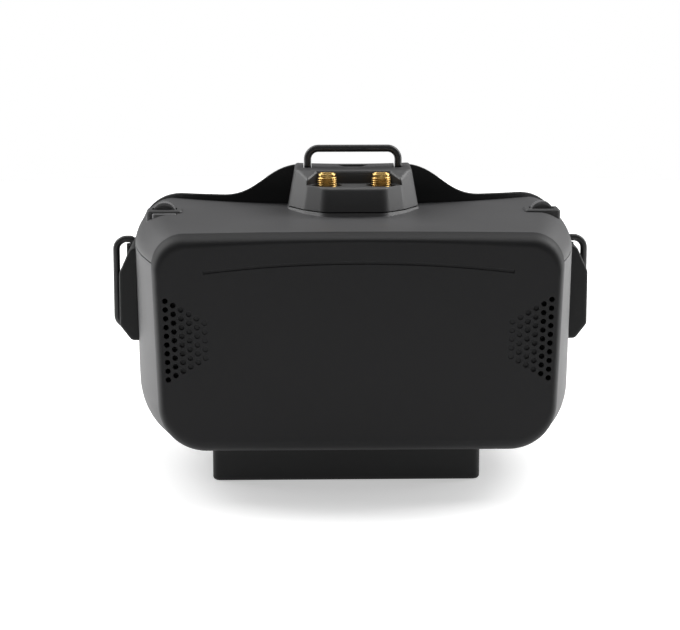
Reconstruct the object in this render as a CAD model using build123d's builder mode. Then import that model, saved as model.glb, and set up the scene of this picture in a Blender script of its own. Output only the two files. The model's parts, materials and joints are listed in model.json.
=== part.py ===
from build123d import *

# FPV goggles: a box casing with display optics inside, a curved face frame with a
# foam cushion behind it, and an antenna module on top.
#
# Frame, in millimetres: +X is to the right of somebody who looks at the front cover,
# +Y runs from the front cover to the wearer's face, +Z is up. z = 0 is the underside
# of the connector box that the goggles stand on.

import os
from collections import namedtuple
from math import sqrt

os.makedirs("parts", exist_ok=True)


# ---------------------------------------------------------------- driving dimensions

WALL = 2.2              # moulded wall of the casing
SEAM = 0.3              # open line between two mouldings
FIT = 0.05              # radial clearance of a running fit

FRONT_Y = -50.0         # flat face of the front cover
RIM_Y = -43.0           # where the front cover meets the two shells
SIDE_SEAM_Z = 73.0      # where the upper shell meets the lower shell

FACE_RADIUS = 113.0     # the casing's rear edge follows a forehead-sized cylinder
FACE_AXIS_Y = 125.0
PLATE = 2.5             # face frame thickness
CUSHION_RADIUS = 115.5  # the cushion's rear surface is a flatter cylinder
CUSHION_AXIS_Y = 140.79
SOFT_GAP = 0.3          # air between the plate and the soft parts

OPTIC_Z = 48.0          # height of the optical axis
EYE_WIDTH = 118.0
EYE_HEIGHT = 50.0

SMA_RADIUS = 3.175      # 1/4-36 thread, major diameter 6.35
SMA_X = 8.8
SMA_Y = -3.5
SMA_STEM = 3.0          # barrel radius under the nut, the thread's root

WIRE = 1.2              # strap loop wire radius
LOOP_HALF = 15.05       # half distance between the two legs of a loop
LOOP_CORNER = 3.6
LOOP_ELBOW = 1.4
FOOT_END = 9.5          # how near the feet come to the middle of the loop
TOP_PIVOT_Y = 9.2
TOP_PIVOT_Z = 94.8
TOP_LEG = 8.2
SIDE_PIVOT_X = 74.7
SIDE_PIVOT_Y = 31.0
SIDE_PIVOT_Z = 54.6
SIDE_LEG = 6.0

WHEEL_X = 62.3
WHEEL_RADIUS = 3.8
WHEEL_WIDTH = 4.2
WHEEL_FRONT_Y = 0.0
WHEEL_Z = 82.4
PAD_TOP = 83.9

BOX_LEFT = -46.2        # connector box
BOX_RIGHT = 39.8
BOX_FRONT = -31.0
BOX_REAR = 3.0
BOX_TOP = 14.0
BOX_WALL = 2.0

SIDES = {"left": -1, "right": 1}
BIG = 400.0             # larger than the whole object


# ---------------------------------------------------------------- shared shapes

Section = namedtuple(
    "Section", "y half_top half_bottom low high arch top_radius bottom_radius"
)

RIM = Section(RIM_Y, 64.5, 62.0, 13.5, 82.0, 0.6, 10.0, 15.0)
FACE = Section(FRONT_Y, 61.8, 59.5, 17.8, 77.6, 2.7, 9.0, 12.0)
CASING = [
    RIM,
    Section(-8.0, 71.5, 70.0, 11.5, 82.7, 0.6, 11.0, 17.0),
    Section(12.0, 73.0, 71.0, 10.0, 83.3, 0.6, 12.0, 21.0),
    Section(46.0, 71.8, 65.5, 8.0, 84.4, 0.6, 13.0, 30.0),
]


def mix(a, b, share):
    """A section between a and b, share being how far it is towards b."""
    return Section(*[p + (q - p) * share for p, q in zip(a, b)])


def casing_section(section, inset=0.0):
    """One cross-section of the casing, standing at its depth and drawn inset all round."""
    top = section.half_top - inset
    bottom = section.half_bottom - inset
    low = section.low + inset
    high = section.high - inset
    with BuildSketch(Plane.XZ.offset(-section.y)) as outline:
        with BuildLine():
            Polyline((top, high), (bottom, low), (-bottom, low), (-top, high))
            ThreePointArc((-top, high), (0, high + section.arch), (top, high))
        make_face()
        fillet(outline.vertices().group_by(Axis.Y)[-1], section.top_radius - inset)
        fillet(outline.vertices().group_by(Axis.Y)[0], section.bottom_radius - inset)
    return outline.sketch


def casing_blank(inset=0.0):
    """The solid inside the casing's outer surface, or inside its inner one."""
    with BuildPart() as blank:
        loft([casing_section(section, inset) for section in CASING])
    return blank.part


def face_y(x):
    """Depth of the casing's curved rear edge at a distance x from the middle."""
    return FACE_AXIS_Y - sqrt(FACE_RADIUS**2 - x**2)


def nose_profile(grow=0.0):
    """Arch that leaves room for the wearer's nose, seen from the front."""
    with BuildSketch(Plane.XZ) as arch:
        with BuildLine():
            Polyline((-9 - grow, 31), (-17 - grow, -5), (17 + grow, -5), (9 + grow, 31))
            ThreePointArc((9 + grow, 31), (0, 39 + grow), (-9 - grow, 31))
        make_face()
    return arch.sketch


def eye_window(grow=0.0):
    """Opening that the wearer looks through, with its lower edge lifted over the nose."""
    with BuildSketch(Plane.XZ) as window:
        with Locations((0, OPTIC_Z)):
            RectangleRounded(EYE_WIDTH + 2 * grow, EYE_HEIGHT + 2 * grow, 14 + grow)
        add(nose_profile(6.5 - grow), mode=Mode.SUBTRACT)
        corners = window.vertices().filter_by(lambda v: abs(v.X) < 28 and v.Y < 36)
        fillet(corners.group_by(Axis.Y)[0], 4)
    return window.sketch


def face_outline(inset=0.0):
    """Outline of the face frame: forehead hump, square shoulders, narrowing cheeks."""
    half = 73 - inset
    top = 97.2 - inset
    shoulder = 85.6 - inset
    slant = 0.7 * inset
    with BuildSketch(Plane.XZ) as outline:
        with BuildLine():
            Line((0, top), (16, top))
            Spline(
                (16, top),
                (30 - slant, 91.6 - slant),
                (43, shoulder + 0.4),
                tangents=[(1, 0), (1, -0.05)],
            )
            Line((43, shoulder + 0.4), (57, shoulder))
            ThreePointArc((57, shoulder), (68.3 - slant, 80.9 - slant), (half, 69.6))
            Line((half, 69.6), (half, 52))
            Spline(
                (half, 52),
                (67.5 - slant, 25 + slant),
                (50 - slant, 7 + inset),
                tangents=[(0, -1), (-1, -0.5)],
            )
            Line((50 - slant, 7 + inset), (0, 5.5 + inset))
            mirror(about=Plane.YZ)
        make_face()
    return outline.sketch


def save(piece, name):
    """Label a finished piece and write it as its own STEP file."""
    piece.part.label = name
    export_step(piece.part, f"parts/{name}.step")


# ---------------------------------------------------------------- front cover

VENT_PITCH = 2.75       # between the holes of one column
VENT_STEP = 2.38        # between columns
VENT_RADIUS = 0.85
VENT_Z = 49.9
VENT_EDGE_X = 59.7
VENT_COLUMNS = 6
VENT_ROWS = 10          # in the outermost column, one less in each column after it
OPEN_COLUMNS = 2        # the outer columns go right through, the others are dimples
COVER_SKIN = 2.2

with BuildPart() as front_cover:
    rounding = (0.0, 25.0, 48.0, 68.0, 82.0, 90.0)
    layers = []
    for angle in rounding:
        swing = Vector(1, 0, 0).rotate(Axis.Z, angle)
        layer = mix(RIM, FACE, 1 - swing.X)
        layers.append(layer._replace(y=RIM_Y - SEAM - (RIM_Y - SEAM - FRONT_Y) * swing.Y))
    loft([casing_section(layer) for layer in layers])
    hollow = [RIM._replace(y=RIM_Y - SEAM), mix(RIM, FACE, 0.6)._replace(y=FRONT_Y + COVER_SKIN)]
    loft([casing_section(layer, WALL) for layer in hollow], ruled=True, mode=Mode.SUBTRACT)
    for column in range(VENT_COLUMNS):
        rows = VENT_ROWS - column
        depth = COVER_SKIN + 1 if column < OPEN_COLUMNS else 1.1 - 0.18 * column
        with BuildSketch(Plane.XZ.offset(-FRONT_Y)):
            for side in SIDES.values():
                for row in range(rows):
                    z = VENT_Z + (row - (rows - 1) / 2) * VENT_PITCH
                    x = VENT_EDGE_X - column * VENT_STEP - (62.3 - z) * 0.03
                    with Locations((side * x, z)):
                        Circle(VENT_RADIUS)
        extrude(amount=-depth, mode=Mode.SUBTRACT)
    with BuildSketch(Plane.XZ.offset(-FRONT_Y)):
        with BuildLine() as brow:
            ThreePointArc((-48, 71.0), (0, 73.9), (48, 71.0))
        trace(line_width=0.9)
    extrude(amount=-0.3, mode=Mode.SUBTRACT)
save(front_cover, "front_cover")


# ---------------------------------------------------------------- antenna module plan

MODULE_SEAM_Z = 84.4
CAP_BOTTOM = MODULE_SEAM_Z + SEAM / 2
CAP_REACH = 99.0        # the cap's tapering walls are drawn up to here, then cut
CAP_TAPER = 2.6
BAY_FLOOR = 92.3        # floor of the bay, which is open to the front
BAY_REAR = 1.6
BAY_REAR_HALF = 12.0
BAY_FRONT = -22.0
BAY_FRONT_HALF = 24.8
WELL_FLOOR = 88.2       # round wells in the bay's floor, one for each socket
WELL_RADIUS = 4.9


def module_plan(z, inset=0.0):
    """Plan of the antenna module at a height: a blunt nose that widens to the rear."""
    with BuildSketch(Plane.XY.offset(z)) as plan:
        nose = 10 - 0.4 * inset
        front = -13 + inset
        half = 21.5 - inset
        with BuildLine():
            Polyline(
                (-nose, front),
                (nose, front),
                (16.5 - 0.8 * inset, -5.8 + 0.6 * inset),
                (half, 4 + 0.4 * inset),
                (half, 30),
                (-half, 30),
                (-half, 4 + 0.4 * inset),
                (-16.5 + 0.8 * inset, -5.8 + 0.6 * inset),
                close=True,
            )
        make_face()
        front_corners = plan.vertices().filter_by(lambda v: v.Y < 10)
        fillet(front_corners, 4.5)
    return plan.sketch


def cap_side_profile(drop=0.0):
    """Side view of the cap's roof: a sloping front and an almost level top."""
    with BuildSketch(Plane.YZ) as profile:
        with BuildLine():
            Polyline(
                (-30, 60),
                (-30, 86.0 - drop),
                (2.5, 96.4 - drop),
                (14, 97.8 - drop),
                (40, 97.8 - drop),
                (40, 60),
                close=True,
            )
        make_face()
    return profile.sketch


# ---------------------------------------------------------------- upper shell

BOSS_FRONT = (57.0, -36.0)
BOSS_REAR = (65.6, 21.0)
BOSSES = [(side * x, y) for side in (-1, 1) for x, y in (BOSS_FRONT, BOSS_REAR)]
FRAME_SCREWS = [(67.0, 62.0), (65.5, 31.0), (29.0, 80.2)]


def frame_screw_places():
    """Where the face frame is screwed on, each looking along the screw to its head."""
    places = []
    for side in (-1, 1):
        for x, z in FRAME_SCREWS:
            y = face_y(x)
            places.append(
                Plane(
                    origin=(side * x, y, z),
                    x_dir=(0, 0, 1),
                    z_dir=(-side * x, FACE_AXIS_Y - y, 0),
                )
            )
    return places


def screw_bosses(low, high):
    """Bosses for the frame screws whose height is between two limits."""
    with BuildPart() as bosses:
        for place in frame_screw_places():
            if low < place.origin.Z < high:
                with BuildSketch(place.offset(2)):
                    Circle(2.9)
                extrude(amount=-8.5)
        add(casing_blank(0.1), mode=Mode.INTERSECT)
    return bosses.part


def screw_holes():
    """Pilot holes for the frame screws, reaching from the plate into the bosses."""
    with BuildPart() as holes:
        for place in frame_screw_places():
            with BuildSketch(place.offset(1)):
                Circle(0.95)
            extrude(amount=-6.3)
    return holes.part


with BuildPart() as wheel_pads:
    for side in SIDES.values():
        with BuildSketch(Plane.XY.offset(75)):
            with Locations((side * 62.2, 1.6)):
                RectangleRounded(11.8, 9.2, 1.2)
        extrude(amount=PAD_TOP - 75)
    chamfer(wheel_pads.faces().group_by(Axis.Z)[-1].edges(), 0.5)

BUTTON_X = -62.0
BUTTON_Y = -4.55
BUTTON_LENGTH = 7.8
BUTTON_WIDTH = 1.7
BUTTON_TOP = 83.15

with BuildPart() as upper_shell:
    add(casing_blank())
    add(wheel_pads.part)
    loft([module_plan(80, -2.2), module_plan(MODULE_SEAM_Z - SEAM / 2)])
    add(casing_blank(WALL), mode=Mode.SUBTRACT)
    loft([module_plan(75, WALL), module_plan(MODULE_SEAM_Z, WALL)], mode=Mode.SUBTRACT)
    with Locations(*[(x, y, SIDE_SEAM_Z) for x, y in BOSSES]):
        Cylinder(3.4, 8.2, align=(Align.CENTER, Align.CENTER, Align.MIN))
    with Locations(*[(side * 56.0, -6.5, SIDE_SEAM_Z + 1.7) for side in SIDES.values()]):
        Cylinder(1.6, 7, align=(Align.CENTER, Align.CENTER, Align.MIN))
    with Locations(*[(x, y, SIDE_SEAM_Z) for x, y in BOSSES]):
        Cylinder(1.75, 7, align=(Align.CENTER, Align.CENTER, Align.MIN), mode=Mode.SUBTRACT)
    for side in SIDES.values():
        middle = WHEEL_FRONT_Y + WHEEL_WIDTH / 2
        with Locations((side * WHEEL_X, middle, 83.3)):
            Box(10.4, 8.2, 20, align=(Align.CENTER, Align.CENTER, Align.MAX), mode=Mode.SUBTRACT)
        with Locations((side * WHEEL_X, middle, PAD_TOP)):
            Box(8.2, WHEEL_WIDTH + 0.7, 6, mode=Mode.SUBTRACT)
    with Locations((BUTTON_X, BUTTON_Y, PAD_TOP)):
        Box(BUTTON_LENGTH + 0.5, BUTTON_WIDTH + 0.5, 12, mode=Mode.SUBTRACT)
    add(screw_bosses(SIDE_SEAM_Z, BIG))
    with Locations((0, FACE_AXIS_Y, 0)):
        Cylinder(FACE_RADIUS, BIG, mode=Mode.SUBTRACT)
    add(screw_holes(), mode=Mode.SUBTRACT)
    split(bisect_by=Plane.XY.offset(SIDE_SEAM_Z + SEAM / 2), keep=Keep.TOP)
save(upper_shell, "upper_shell")


# ---------------------------------------------------------------- lower shell

with BuildPart() as screw_posts:
    with Locations(*[(x, y, 0) for x, y in BOSSES]):
        Cylinder(3.6, SIDE_SEAM_Z, align=(Align.CENTER, Align.CENTER, Align.MIN))
    add(casing_blank(0.1), mode=Mode.INTERSECT)

with BuildPart() as lower_shell:
    add(casing_blank())
    add(casing_blank(WALL), mode=Mode.SUBTRACT)
    add(screw_posts.part)
    with Locations(*[(x, y, 0) for x, y in BOSSES]):
        Cylinder(2.6, 64, align=(Align.CENTER, Align.CENTER, Align.MIN), mode=Mode.SUBTRACT)
        Cylinder(1.2, 90, align=(Align.CENTER, Align.CENTER, Align.MIN), mode=Mode.SUBTRACT)
    add(screw_bosses(0, SIDE_SEAM_Z))
    with Locations((0, FACE_AXIS_Y, 0)):
        Cylinder(FACE_RADIUS, BIG, mode=Mode.SUBTRACT)
    add(screw_holes(), mode=Mode.SUBTRACT)
    with BuildSketch(Plane.XZ.offset(-3.9)):
        add(nose_profile(0.1))
    extrude(amount=-60, mode=Mode.SUBTRACT)
    split(bisect_by=Plane.XY.offset(SIDE_SEAM_Z - SEAM / 2), keep=Keep.BOTTOM)
save(lower_shell, "lower_shell")


# ---------------------------------------------------------------- antenna cap

SLOT_INNER = 13.7       # slots in the cap's roof that the loop's legs turn in
SLOT_OUTER = 16.4
SLOT_FRONT = 6.5

with BuildPart() as cap_cavity:
    loft([module_plan(CAP_BOTTOM - 1, 2), module_plan(CAP_REACH, 2 + CAP_TAPER)])
    extrude(cap_side_profile(2), amount=BIG, both=True, mode=Mode.INTERSECT)
    with Locations((0, BAY_REAR + 1.6, BAY_FLOOR - 1.6)):
        Box(80, 40, 20, align=(Align.CENTER, Align.MAX, Align.MIN), mode=Mode.SUBTRACT)
    with Locations(*[(side * SMA_X, SMA_Y, WELL_FLOOR - 1.4) for side in SIDES.values()]):
        Cylinder(
            WELL_RADIUS + 1.4,
            20,
            align=(Align.CENTER, Align.CENTER, Align.MIN),
            mode=Mode.SUBTRACT,
        )
    with Locations((0, TOP_PIVOT_Y, TOP_PIVOT_Z)):
        Box(36, 7.5, 5.4, mode=Mode.SUBTRACT)

with BuildPart() as antenna_cap:
    loft([module_plan(CAP_BOTTOM), module_plan(CAP_REACH, CAP_TAPER)])
    extrude(cap_side_profile(), amount=BIG, both=True, mode=Mode.INTERSECT)
    roof_edges = antenna_cap.faces().filter_by(lambda f: f.center().Z > 92).edges()
    fillet(roof_edges.filter_by(lambda e: abs(e.center().X) < 30 and e.center().Y < 24), 1.2)
    add(cap_cavity.part, mode=Mode.SUBTRACT)
    with BuildSketch(Plane.XY.offset(BAY_FLOOR)):
        Polygon(
            (-BAY_REAR_HALF, BAY_REAR),
            (BAY_REAR_HALF, BAY_REAR),
            (BAY_FRONT_HALF, BAY_FRONT),
            (-BAY_FRONT_HALF, BAY_FRONT),
            align=None,
        )
    extrude(amount=20, mode=Mode.SUBTRACT)
    mouth = antenna_cap.edges(Select.LAST).filter_by(lambda e: e.bounding_box().min.Z > 93)
    chamfer(mouth, 0.4)
    with Locations(*[(side * SMA_X, SMA_Y, WELL_FLOOR) for side in SIDES.values()]):
        Cylinder(
            WELL_RADIUS,
            20,
            align=(Align.CENTER, Align.CENTER, Align.MIN),
            mode=Mode.SUBTRACT,
        )
        Cylinder(SMA_STEM + 0.1, 6, mode=Mode.SUBTRACT)
    for side in SIDES.values():
        with Locations((side * (SLOT_INNER + SLOT_OUTER) / 2, SLOT_FRONT, TOP_PIVOT_Z - 1.5)):
            Box(
                SLOT_OUTER - SLOT_INNER,
                20,
                20,
                align=(Align.CENTER, Align.MIN, Align.MIN),
                mode=Mode.SUBTRACT,
            )
    with BuildSketch(Plane.YZ.offset(-SLOT_INNER)):
        with Locations((TOP_PIVOT_Y, TOP_PIVOT_Z)):
            Circle(WIRE + FIT)
    extrude(amount=2 * SLOT_INNER, mode=Mode.SUBTRACT)
    with BuildSketch(Plane.XY.offset(99)):
        Polygon((-5, 10.4), (5, 10.4), (0, 4.6), align=None)
    extrude(amount=-2.2, mode=Mode.SUBTRACT)
    with Locations((0, FACE_AXIS_Y, 0)):
        Cylinder(FACE_RADIUS, BIG, mode=Mode.SUBTRACT)
save(antenna_cap, "antenna_cap")


# ---------------------------------------------------------------- antenna sockets

RECEIVER_TOP = 85.2     # upper face of the receiver board
SMA_TIP = 96.2
SMA_THREAD_TOP = 95.0
WASHER = 0.4
NUT_HEIGHT = 1.6
NUT_TOP = WELL_FLOOR + WASHER + NUT_HEIGHT

with BuildPart() as sma_barrel:
    with BuildSketch(Plane.XY.offset(RECEIVER_TOP)):
        Circle(3.9)
    extrude(amount=1.5)
    with BuildSketch(Plane.XY.offset(RECEIVER_TOP + 1.5)):
        Circle(SMA_STEM)
    extrude(amount=NUT_TOP - RECEIVER_TOP - 1.5)
    with BuildSketch(Plane.XY.offset(NUT_TOP)):
        Circle(SMA_RADIUS)
    extrude(amount=SMA_THREAD_TOP - NUT_TOP)
    with BuildSketch(Plane.XY.offset(SMA_THREAD_TOP)):
        Circle(2.65)
    extrude(amount=SMA_TIP - SMA_THREAD_TOP)
    with BuildSketch(Plane.XY.offset(SMA_TIP)):
        Circle(2.3)
    extrude(amount=-2.2, mode=Mode.SUBTRACT)
    with BuildSketch(Plane.XY.offset(SMA_TIP - 2.2)):
        Circle(2.05)
    extrude(amount=-5.5, mode=Mode.SUBTRACT)

with BuildPart() as sma_dielectric:
    with BuildSketch(Plane.XY.offset(SMA_TIP - 7.7)):
        Circle(2.05)
        Circle(0.65, mode=Mode.SUBTRACT)
    extrude(amount=5.5)

with BuildPart() as sma_pin:
    with BuildSketch(Plane.XY.offset(SMA_TIP - 7.7)):
        Circle(0.65)
    extrude(amount=5.3)
    with BuildSketch(Plane.XY.offset(SMA_TIP - 2.4)):
        Circle(0.46)
    extrude(amount=-3, mode=Mode.SUBTRACT)

for name, side in SIDES.items():
    with BuildPart(Location((side * SMA_X, SMA_Y, 0))) as sma_connector:
        add(sma_barrel.part)
    save(sma_connector, f"sma_connector_{name}")

SMA_PLACES = [Location((side * SMA_X, SMA_Y, 0)) for side in SIDES.values()]

with BuildPart() as sma_insulators:
    with Locations(*SMA_PLACES):
        add(sma_dielectric.part)
save(sma_insulators, "sma_insulators")

with BuildPart() as sma_contacts:
    with Locations(*SMA_PLACES):
        add(sma_pin.part)
save(sma_contacts, "sma_contacts")

with BuildPart() as sma_washers:
    with BuildSketch(Plane.XY.offset(WELL_FLOOR)):
        with Locations(*[(side * SMA_X, SMA_Y) for side in SIDES.values()]):
            Circle(4.3)
            Circle(SMA_STEM + 0.05, mode=Mode.SUBTRACT)
    extrude(amount=WASHER)
save(sma_washers, "sma_washers")

with BuildPart() as sma_nuts:
    with BuildSketch(Plane.XY.offset(WELL_FLOOR + WASHER)):
        with Locations(*[(side * SMA_X, SMA_Y) for side in SIDES.values()]):
            RegularPolygon(4.0, 6, major_radius=False)
            Circle(SMA_STEM, mode=Mode.SUBTRACT)
    extrude(amount=NUT_HEIGHT)
save(sma_nuts, "sma_nuts")


# ---------------------------------------------------------------- receiver

with BuildPart() as receiver_board:
    with BuildSketch(Plane.XY.offset(RECEIVER_TOP - 1.2)):
        add(module_plan(0, 3.2))
        with Locations((0, 30)):
            Rectangle(60, 44, mode=Mode.SUBTRACT)
    extrude(amount=1.2)
save(receiver_board, "receiver_board")

with BuildPart() as receiver_modules:
    with Locations(*[(side * 7.5, 3, RECEIVER_TOP - 1.2) for side in SIDES.values()]):
        Box(12, 9, 1.9, align=(Align.CENTER, Align.CENTER, Align.MAX))
save(receiver_modules, "receiver_modules")


# ---------------------------------------------------------------- strap loops

def strap_loop(plane, leg):
    """Bent wire loop: feet turned towards each other, legs, and a bar across the top.

    The plane's origin is the middle of the feet and its y axis points along the legs.
    """
    with BuildPart() as loop:
        with BuildLine(plane) as route:
            FilletPolyline(
                (-FOOT_END, 0),
                (-LOOP_HALF, 0),
                (-LOOP_HALF, leg),
                (LOOP_HALF, leg),
                (LOOP_HALF, 0),
                (FOOT_END, 0),
                radius=[LOOP_ELBOW, LOOP_CORNER, LOOP_CORNER, LOOP_ELBOW],
            )
        with BuildSketch(Plane(origin=route.wire() @ 0, z_dir=route.wire() % 0)):
            Circle(WIRE)
        sweep(path=route.wire())
    return loop


top_plane = Plane(origin=(0, TOP_PIVOT_Y, TOP_PIVOT_Z), x_dir=(1, 0, 0), z_dir=(0, -1, 0))
top_strap_loop = strap_loop(top_plane, TOP_LEG)
save(top_strap_loop, "top_strap_loop")

for name, side in SIDES.items():
    side_plane = Plane(
        origin=(side * SIDE_PIVOT_X, SIDE_PIVOT_Y, SIDE_PIVOT_Z),
        x_dir=(0, 0, 1),
        z_dir=(0, side, 0),
    )
    side_loop = strap_loop(side_plane, SIDE_LEG)
    save(side_loop, f"{name}_strap_loop")


# ---------------------------------------------------------------- side pods

POD_FRONT = -5.0
POD_REAR = 27.0
KNUCKLE_HALF = 13.4

for name, side in SIDES.items():
    with BuildPart() as side_pod:
        with BuildSketch(Plane.XZ.offset(-POD_FRONT)):
            Polygon(
                (side * 68, 72),
                (side * 73.4, 72),
                (side * 77.2, 63.5),
                (side * 77.2, 46),
                (side * 73.4, 41),
                (side * 68, 41),
                align=None,
            )
        extrude(amount=-(POD_REAR - POD_FRONT))
        lengthwise = side_pod.edges().filter_by(Axis.Y)
        fillet(lengthwise.filter_by(lambda e: abs(e.center().X) > 72), 2.0)
        ends = side_pod.edges().filter_by(
            lambda e: abs(e.center().Y - POD_FRONT) < 0.1 and abs(e.center().X) > 72
        )
        fillet(ends, 1.0)
        with Locations((side * 74.2, POD_REAR - 0.5, SIDE_PIVOT_Z)):
            Box(
                4.0,
                SIDE_PIVOT_Y - POD_REAR + 0.5,
                2 * KNUCKLE_HALF,
                align=(Align.CENTER, Align.MIN, Align.CENTER),
            )
        with Locations((side * SIDE_PIVOT_X, SIDE_PIVOT_Y, SIDE_PIVOT_Z)):
            Cylinder(2.5, 2 * KNUCKLE_HALF)
            Cylinder(WIRE + FIT, 2 * KNUCKLE_HALF, mode=Mode.SUBTRACT)
        add(casing_blank(), mode=Mode.SUBTRACT)
    save(side_pod, f"side_pod_{name}")


# ---------------------------------------------------------------- face frame, cushion, nose

with BuildPart() as face_frame:
    with BuildSketch(Plane.XZ):
        add(face_outline())
        add(eye_window(), mode=Mode.SUBTRACT)
        add(nose_profile(), mode=Mode.SUBTRACT)
    extrude(amount=-70)
    with Locations((0, FACE_AXIS_Y, 0)):
        Cylinder(FACE_RADIUS, BIG, mode=Mode.INTERSECT)
        Cylinder(FACE_RADIUS - PLATE, BIG, mode=Mode.SUBTRACT)
    for side in SIDES.values():
        with Locations((side * (SLOT_INNER + SLOT_OUTER) / 2, 14, 95.2)):
            Box(
                SLOT_OUTER - SLOT_INNER,
                20,
                10,
                align=(Align.CENTER, Align.CENTER, Align.MIN),
                mode=Mode.SUBTRACT,
            )
    for place in frame_screw_places():
        with BuildSketch(place):
            Circle(1.1)
        extrude(amount=5, mode=Mode.SUBTRACT)
        with BuildSketch(place.offset(1.0)):
            Circle(2.1)
        extrude(amount=5, mode=Mode.SUBTRACT)
save(face_frame, "face_frame")

with BuildPart() as face_frame_screws:
    for place in frame_screw_places():
        with BuildSketch(place.offset(1.0)):
            Circle(1.9)
        extrude(amount=1.3)
        with BuildSketch(place.offset(1.0)):
            Circle(0.9)
        extrude(amount=-6)
save(face_frame_screws, "face_frame_screws")

with BuildPart() as face_cushion:
    with BuildSketch(Plane.XZ):
        add(face_outline(1.6))
        add(eye_window(1.2), mode=Mode.SUBTRACT)
        with Locations((0, 20)):
            Rectangle(46, 60, mode=Mode.SUBTRACT)
    extrude(amount=-70)
    with Locations((0, FACE_AXIS_Y, 0)):
        Cylinder(FACE_RADIUS - PLATE - SOFT_GAP, BIG, mode=Mode.INTERSECT)
    with Locations((0, CUSHION_AXIS_Y, 0)):
        Cylinder(CUSHION_RADIUS, BIG, mode=Mode.SUBTRACT)
save(face_cushion, "face_cushion")

NOSE_FRONT = 4.0
NOSE_WALL = 1.6

with BuildPart() as nose_bridge:
    with BuildSketch(Plane.XZ.offset(-NOSE_FRONT)):
        add(nose_profile(-0.1))
    extrude(amount=-40)
    with BuildSketch(Plane.XZ.offset(-NOSE_FRONT - NOSE_WALL)):
        add(nose_profile(-0.1 - NOSE_WALL))
    extrude(amount=-60, mode=Mode.SUBTRACT)
    with Locations((0, FACE_AXIS_Y, 0)):
        Cylinder(FACE_RADIUS - PLATE - 6, BIG, mode=Mode.SUBTRACT)
    split(bisect_by=Plane.XY.offset(BOX_TOP - 0.5), keep=Keep.TOP)
save(nose_bridge, "nose_bridge")


# ---------------------------------------------------------------- thumb wheels

AXLE = 0.8              # stub axle radius
BOARD_Z = 73.6          # underside of the two small boards under the wheels
CARRIER_Z = 76.3        # underside of the part that carries a wheel
WHEEL_MIDDLE_Y = WHEEL_FRONT_Y + WHEEL_WIDTH / 2

for name, side in SIDES.items():
    with BuildPart() as wheel:
        with BuildSketch(Plane.XZ.offset(-WHEEL_FRONT_Y)):
            with Locations((side * WHEEL_X, WHEEL_Z)):
                Circle(WHEEL_RADIUS)
                with PolarLocations(WHEEL_RADIUS, 32):
                    Circle(0.17, mode=Mode.SUBTRACT)
        extrude(amount=-WHEEL_WIDTH)
        with BuildSketch(Plane.XZ.offset(-WHEEL_FRONT_Y)):
            with Locations((side * WHEEL_X, WHEEL_Z)):
                Circle(WHEEL_RADIUS - 0.9)
        extrude(amount=-0.9, mode=Mode.SUBTRACT)
        with BuildSketch(Plane.XZ.offset(-WHEEL_FRONT_Y + 1.4)):
            with Locations((side * WHEEL_X, WHEEL_Z)):
                Circle(AXLE)
        extrude(amount=-WHEEL_WIDTH - 2.8)
    save(wheel, f"{name}_wheel")

    with BuildPart() as carrier:
        with Locations((side * WHEEL_X, WHEEL_MIDDLE_Y, CARRIER_Z)):
            Box(8.4, 7.2, 2.0, align=(Align.CENTER, Align.CENTER, Align.MIN))
        for end in (-1, 1):
            middle = WHEEL_MIDDLE_Y + end * (WHEEL_WIDTH / 2 + 0.9)
            with Locations((side * WHEEL_X, middle, CARRIER_Z)):
                Box(3.2, 1.1, 82.7 - CARRIER_Z, align=(Align.CENTER, Align.CENTER, Align.MIN))
        with BuildSketch(Plane.XZ.offset(3)):
            with Locations((side * WHEEL_X, WHEEL_Z)):
                Circle(AXLE + FIT)
            with Locations((side * WHEEL_X, WHEEL_Z + 2)):
                Rectangle(2 * (AXLE + FIT), 4)
        extrude(amount=-12, mode=Mode.SUBTRACT)
    save(carrier, f"{name}_wheel_carrier")

with BuildPart() as wheel_boards:
    for side in SIDES.values():
        with Locations((side * 60.5, 0, BOARD_Z)):
            Box(12, 14, 1.1, align=(Align.CENTER, Align.CENTER, Align.MIN))
save(wheel_boards, "wheel_boards")

with BuildPart() as tact_switches:
    with Locations(*[(side * WHEEL_X, WHEEL_MIDDLE_Y, BOARD_Z + 1.1) for side in SIDES.values()]):
        Box(4.5, 4.5, 0.9, align=(Align.CENTER, Align.CENTER, Align.MIN))
    with Locations((BUTTON_X, BUTTON_Y, BOARD_Z + 1.1)):
        Box(4.0, 3.0, 1.2, align=(Align.CENTER, Align.CENTER, Align.MIN))
save(tact_switches, "tact_switches")

with BuildPart() as power_button:
    with BuildSketch(Plane.XY.offset(BUTTON_TOP)):
        with Locations((BUTTON_X, BUTTON_Y)):
            RectangleRounded(BUTTON_LENGTH, BUTTON_WIDTH, 0.5)
    extrude(amount=-5.0)
    chamfer(power_button.faces().sort_by(Axis.Z)[-1].edges(), 0.2)
    with BuildSketch(Plane.XY.offset(BUTTON_TOP - 5.0)):
        with Locations((BUTTON_X + 0.4, BUTTON_Y)):
            Rectangle(5.0, 1.4)
    extrude(amount=-1.5)
save(power_button, "power_button")


# ---------------------------------------------------------------- display and optics

LCD_WIDTH = 96.0
LCD_HEIGHT = 58.0
LCD_BACK_Y = -39.0
LCD_THICK = 2.9
LENS_WIDTH = 98.0
LENS_HEIGHT = 54.0
LENS_BACK_Y = -5.0
LENS_DOME = 316.0       # radius of the lens's curved side
BOARD_BACK_Y = -43.0


def upright(width, height, front, back, corner=0.01):
    """A plate or block standing on the optical axis between two depths."""
    with BuildPart() as block:
        with BuildSketch(Plane.XZ.offset(-front)):
            with Locations((0, OPTIC_Z)):
                RectangleRounded(width, height, corner)
        extrude(amount=front - back)
    return block.part


with BuildPart() as lcd_panel:
    add(upright(LCD_WIDTH, LCD_HEIGHT, LCD_BACK_Y, LCD_BACK_Y + LCD_THICK, 0.5))
save(lcd_panel, "lcd_panel")

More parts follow.
